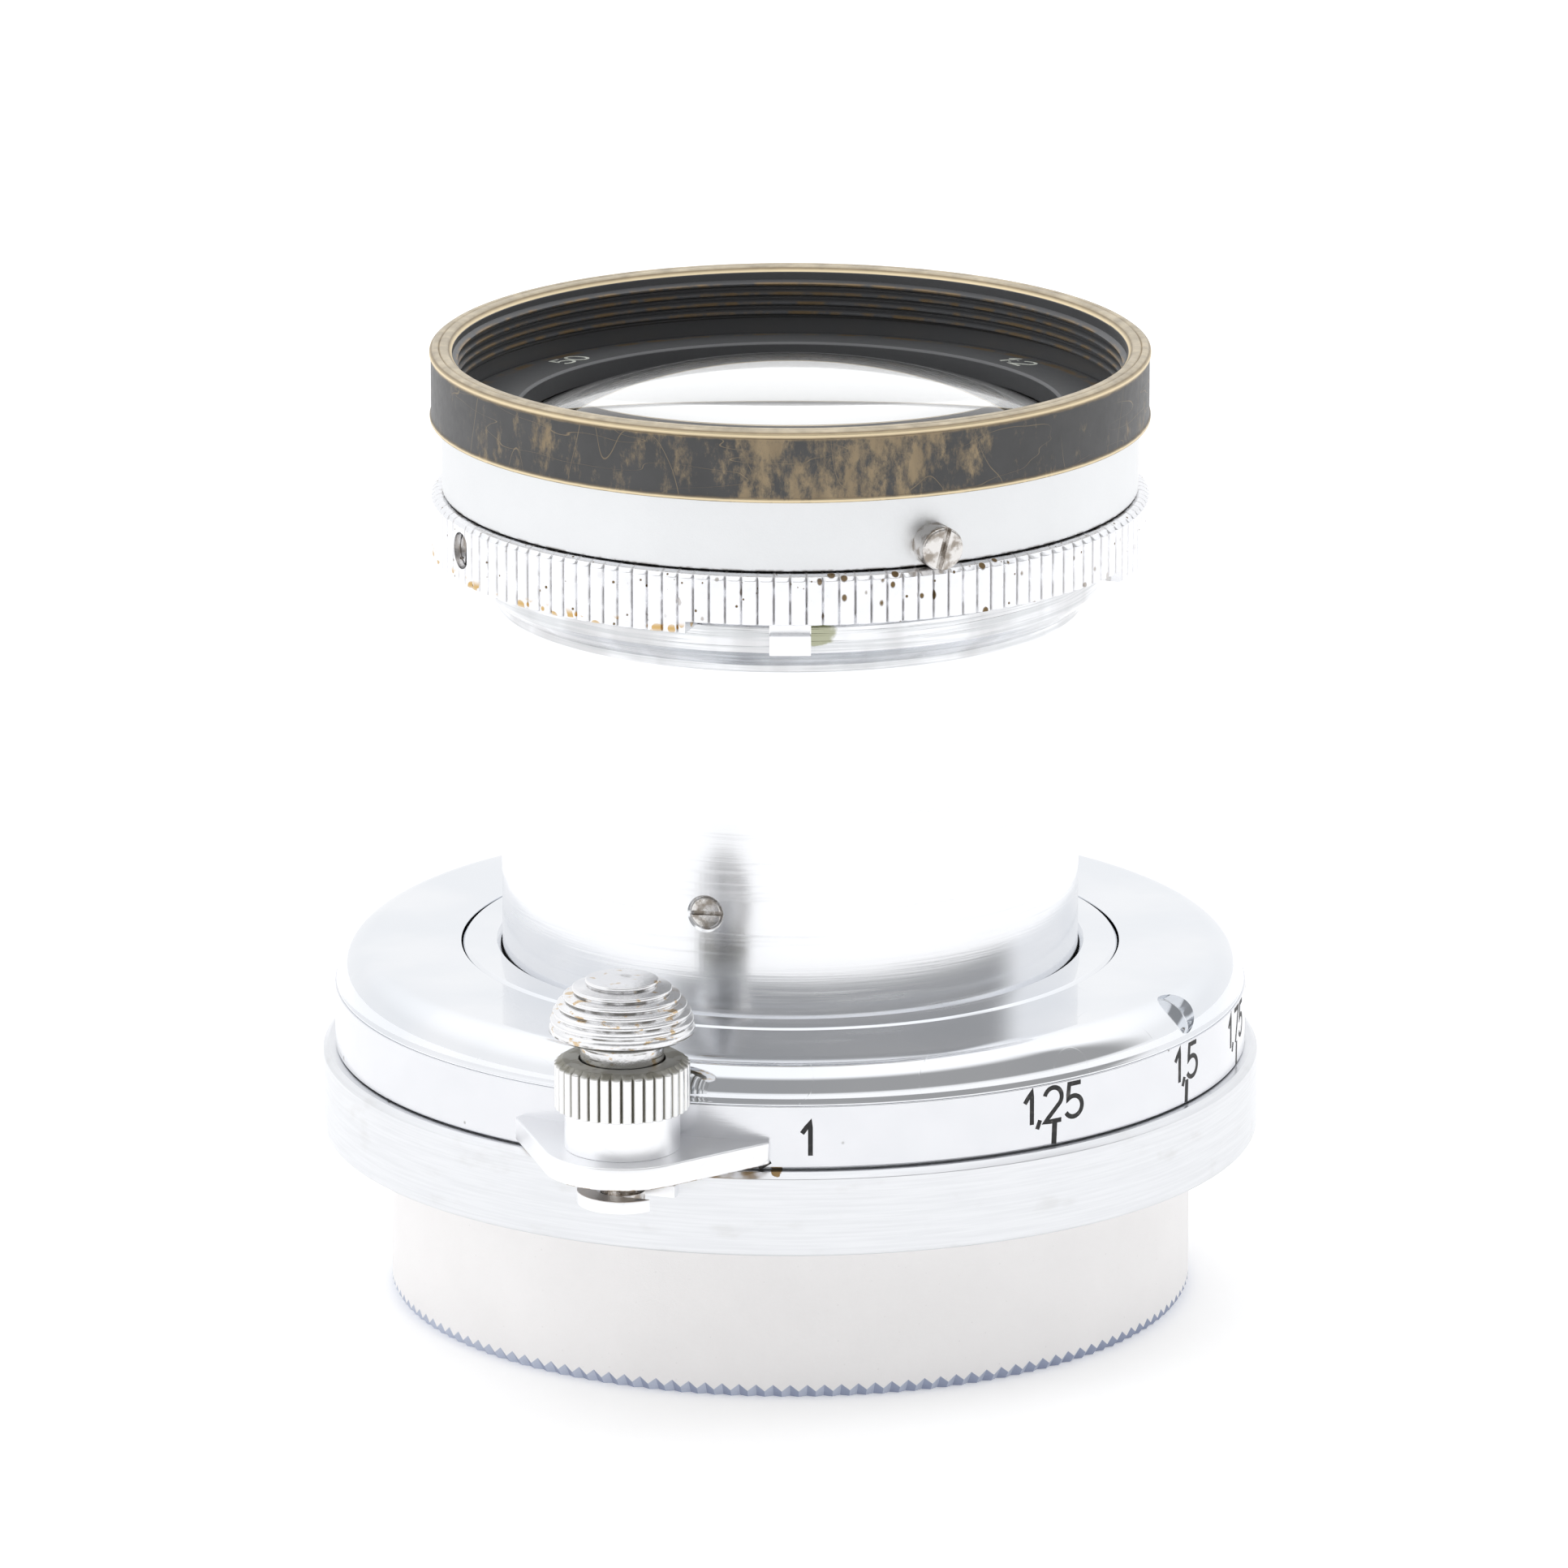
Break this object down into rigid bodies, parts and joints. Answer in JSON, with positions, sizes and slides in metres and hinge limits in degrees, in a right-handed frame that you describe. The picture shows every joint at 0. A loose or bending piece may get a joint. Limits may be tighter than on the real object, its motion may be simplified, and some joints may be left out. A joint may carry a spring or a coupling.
{
  "type": "prime camera lens",
  "caption": "Collapsible normal-focal-length screw-mount camera lens, drawn out, with focusing lever and infinity lock, fluted aperture ring, worn black front ring and rear cap.",
  "frame": {"origin": "middle of the rear cap's outside face, on the lens axis", "axes": "+Z along the lens axis towards the front element, -Y towards the side with the focusing lever and the one-metre figure"},
  "size_m": [0.0472, 0.0514, 0.0486],
  "materials": {
    "chrome": "bright chrome plate on brass, fine turning marks",
    "polished_chrome": "mirror chrome plate on brass with hairline scratches",
    "brushed_chrome": "chrome plate brushed round the axis",
    "satin_chrome": "satin chrome plate",
    "scale_chrome": "brushed white chrome with black-filled distance figures",
    "worn_chrome": "chrome plate worn to brass on the ridges, dirt in the grooves",
    "satin_aluminium": "satin anodised, fine speckle",
    "brass": "turned brass, greased",
    "brassed_black_paint": "black paint on brass, rubbed through in streaks",
    "black_enamel": "black enamel with plain filled index marks",
    "blackened_brass": "matt blackened brass",
    "glass": "polished uncoated optical glass",
    "steel": "screw steel, dull",
    "spring_steel": "drawn spring wire",
    "iris_steel": "blued spring steel sheet",
    "felt": "black felt"
  },
  "bodies": {
    "mount": {"mount_barrel": "chrome", "flange_ring": "brushed_chrome", "flange_screws": "steel", "infinity_catch": "worn_chrome", "focus_retaining_ring": "brass"},
    "rear_cap": {"rear_cap": "satin_aluminium"},
    "focus_ring": {"scale_ring": "scale_chrome", "shoulder_cover": "polished_chrome", "cover_grub_screw": "steel", "drive_keys": "brass", "key_screws": "steel", "focus_lever": "chrome", "lever_screws": "steel", "knob_sleeve": "chrome", "knob_collar": "worn_chrome"},
    "lock_button": {"lock_button": "worn_chrome", "lock_pin": "steel", "lock_spring": "spring_steel"},
    "helicoid": {"inner_helicoid": "brass", "rangefinder_cam": "brass", "collar_ring": "polished_chrome"},
    "felt_ring": {"felt_ring": "felt"},
    "tube": {"tube": "polished_chrome", "bayonet_lugs": "brass", "tube_set_screw": "steel", "head_barrel": "chrome", "stop_block": "chrome", "smooth_band": "satin_chrome", "index_screw": "steel", "front_ring": "brassed_black_paint", "name_ring": "black_enamel", "iris_housing": "blackened_brass", "front_cell": "blackened_brass", "front_element": "glass", "front_spacer": "blackened_brass", "front_doublet_crown": "glass", "front_doublet_flint": "glass", "rear_cell": "blackened_brass", "rear_doublet_flint": "glass", "rear_doublet_crown": "glass", "rear_spacer": "blackened_brass", "rear_element": "glass", "rear_retaining_ring": "blackened_brass"},
    "aperture_ring": {"aperture_ring": "worn_chrome", "aperture_grub_screw": "steel", "iris_actuator": "blackened_brass"},
    "iris_blade_1": {"iris_blade_1": "iris_steel"},
    "iris_blade_2": {"iris_blade_2": "iris_steel"},
    "iris_blade_3": {"iris_blade_3": "iris_steel"},
    "iris_blade_4": {"iris_blade_4": "iris_steel"},
    "iris_blade_5": {"iris_blade_5": "iris_steel"},
    "iris_blade_6": {"iris_blade_6": "iris_steel"}
  },
  "joints": [
    {"name": "focus_turn", "type": "hinge", "parent": "mount", "child": "focus_ring", "pos_m": [0, 0, 0.0127], "axis": [0, 0, 1], "range_deg": [0, 170.05]},
    {"name": "helicoid_rise", "type": "slide", "parent": "focus_ring", "child": "helicoid", "axis": [0, 0, 1], "range_m": [0, 0.00298]},
    {"name": "bayonet_turn", "type": "hinge", "parent": "helicoid", "child": "felt_ring", "pos_m": [0, 0, 0.016], "axis": [0, 0, 1], "range_deg": [0, 25]},
    {"name": "collapse", "type": "slide", "parent": "felt_ring", "child": "tube", "axis": [0, 0, -1], "range_m": [0, 0.0175]},
    {"name": "aperture_turn", "type": "hinge", "parent": "tube", "child": "aperture_ring", "pos_m": [0, 0, 0.04], "axis": [0, 0, 1], "range_deg": [-61, 12]},
    {"name": "button_press", "type": "slide", "parent": "focus_ring", "child": "lock_button", "axis": [0, 0, -1], "range_m": [0, 0.001], "stiffness_N_per_m": 600, "springref_m": -0.0012, "deforming": ["lock_spring"]},
    {"name": "cap_off", "type": "slide", "parent": "mount", "child": "rear_cap", "axis": [0, 0, -1], "range_m": [0, 0.02626]},
    {"name": "blade_1_turn", "type": "hinge", "parent": "tube", "child": "iris_blade_1", "pos_m": [0, -0.012, 0.029], "axis": [0, 0, 1], "range_deg": [-6.01, 30.51]},
    {"name": "blade_2_turn", "type": "hinge", "parent": "tube", "child": "iris_blade_2", "pos_m": [0.01039, -0.006, 0.029], "axis": [0, 0, 1], "range_deg": [-6.01, 30.51]},
    {"name": "blade_3_turn", "type": "hinge", "parent": "tube", "child": "iris_blade_3", "pos_m": [0.01039, 0.006, 0.029], "axis": [0, 0, 1], "range_deg": [-6.01, 30.51]},
    {"name": "blade_4_turn", "type": "hinge", "parent": "tube", "child": "iris_blade_4", "pos_m": [0, 0.012, 0.029], "axis": [0, 0, 1], "range_deg": [-6.01, 30.51]},
    {"name": "blade_5_turn", "type": "hinge", "parent": "tube", "child": "iris_blade_5", "pos_m": [-0.01039, 0.006, 0.029], "axis": [0, 0, 1], "range_deg": [-6.01, 30.51]},
    {"name": "blade_6_turn", "type": "hinge", "parent": "tube", "child": "iris_blade_6", "pos_m": [-0.01039, -0.006, 0.029], "axis": [0, 0, 1], "range_deg": [-6.01, 30.51]}
  ],
  "couplings": [
    {"joint": "focus_turn", "follows": "helicoid_rise", "rad_per_m": 995.66},
    {"joint": "cap_off", "follows": "collapse", "ratio": 1.5},
    {"joint": "blade_1_turn", "follows": "aperture_turn", "ratio": -0.5},
    {"joint": "blade_2_turn", "follows": "aperture_turn", "ratio": -0.5},
    {"joint": "blade_3_turn", "follows": "aperture_turn", "ratio": -0.5},
    {"joint": "blade_4_turn", "follows": "aperture_turn", "ratio": -0.5},
    {"joint": "blade_5_turn", "follows": "aperture_turn", "ratio": -0.5},
    {"joint": "blade_6_turn", "follows": "aperture_turn", "ratio": -0.5}
  ]
}
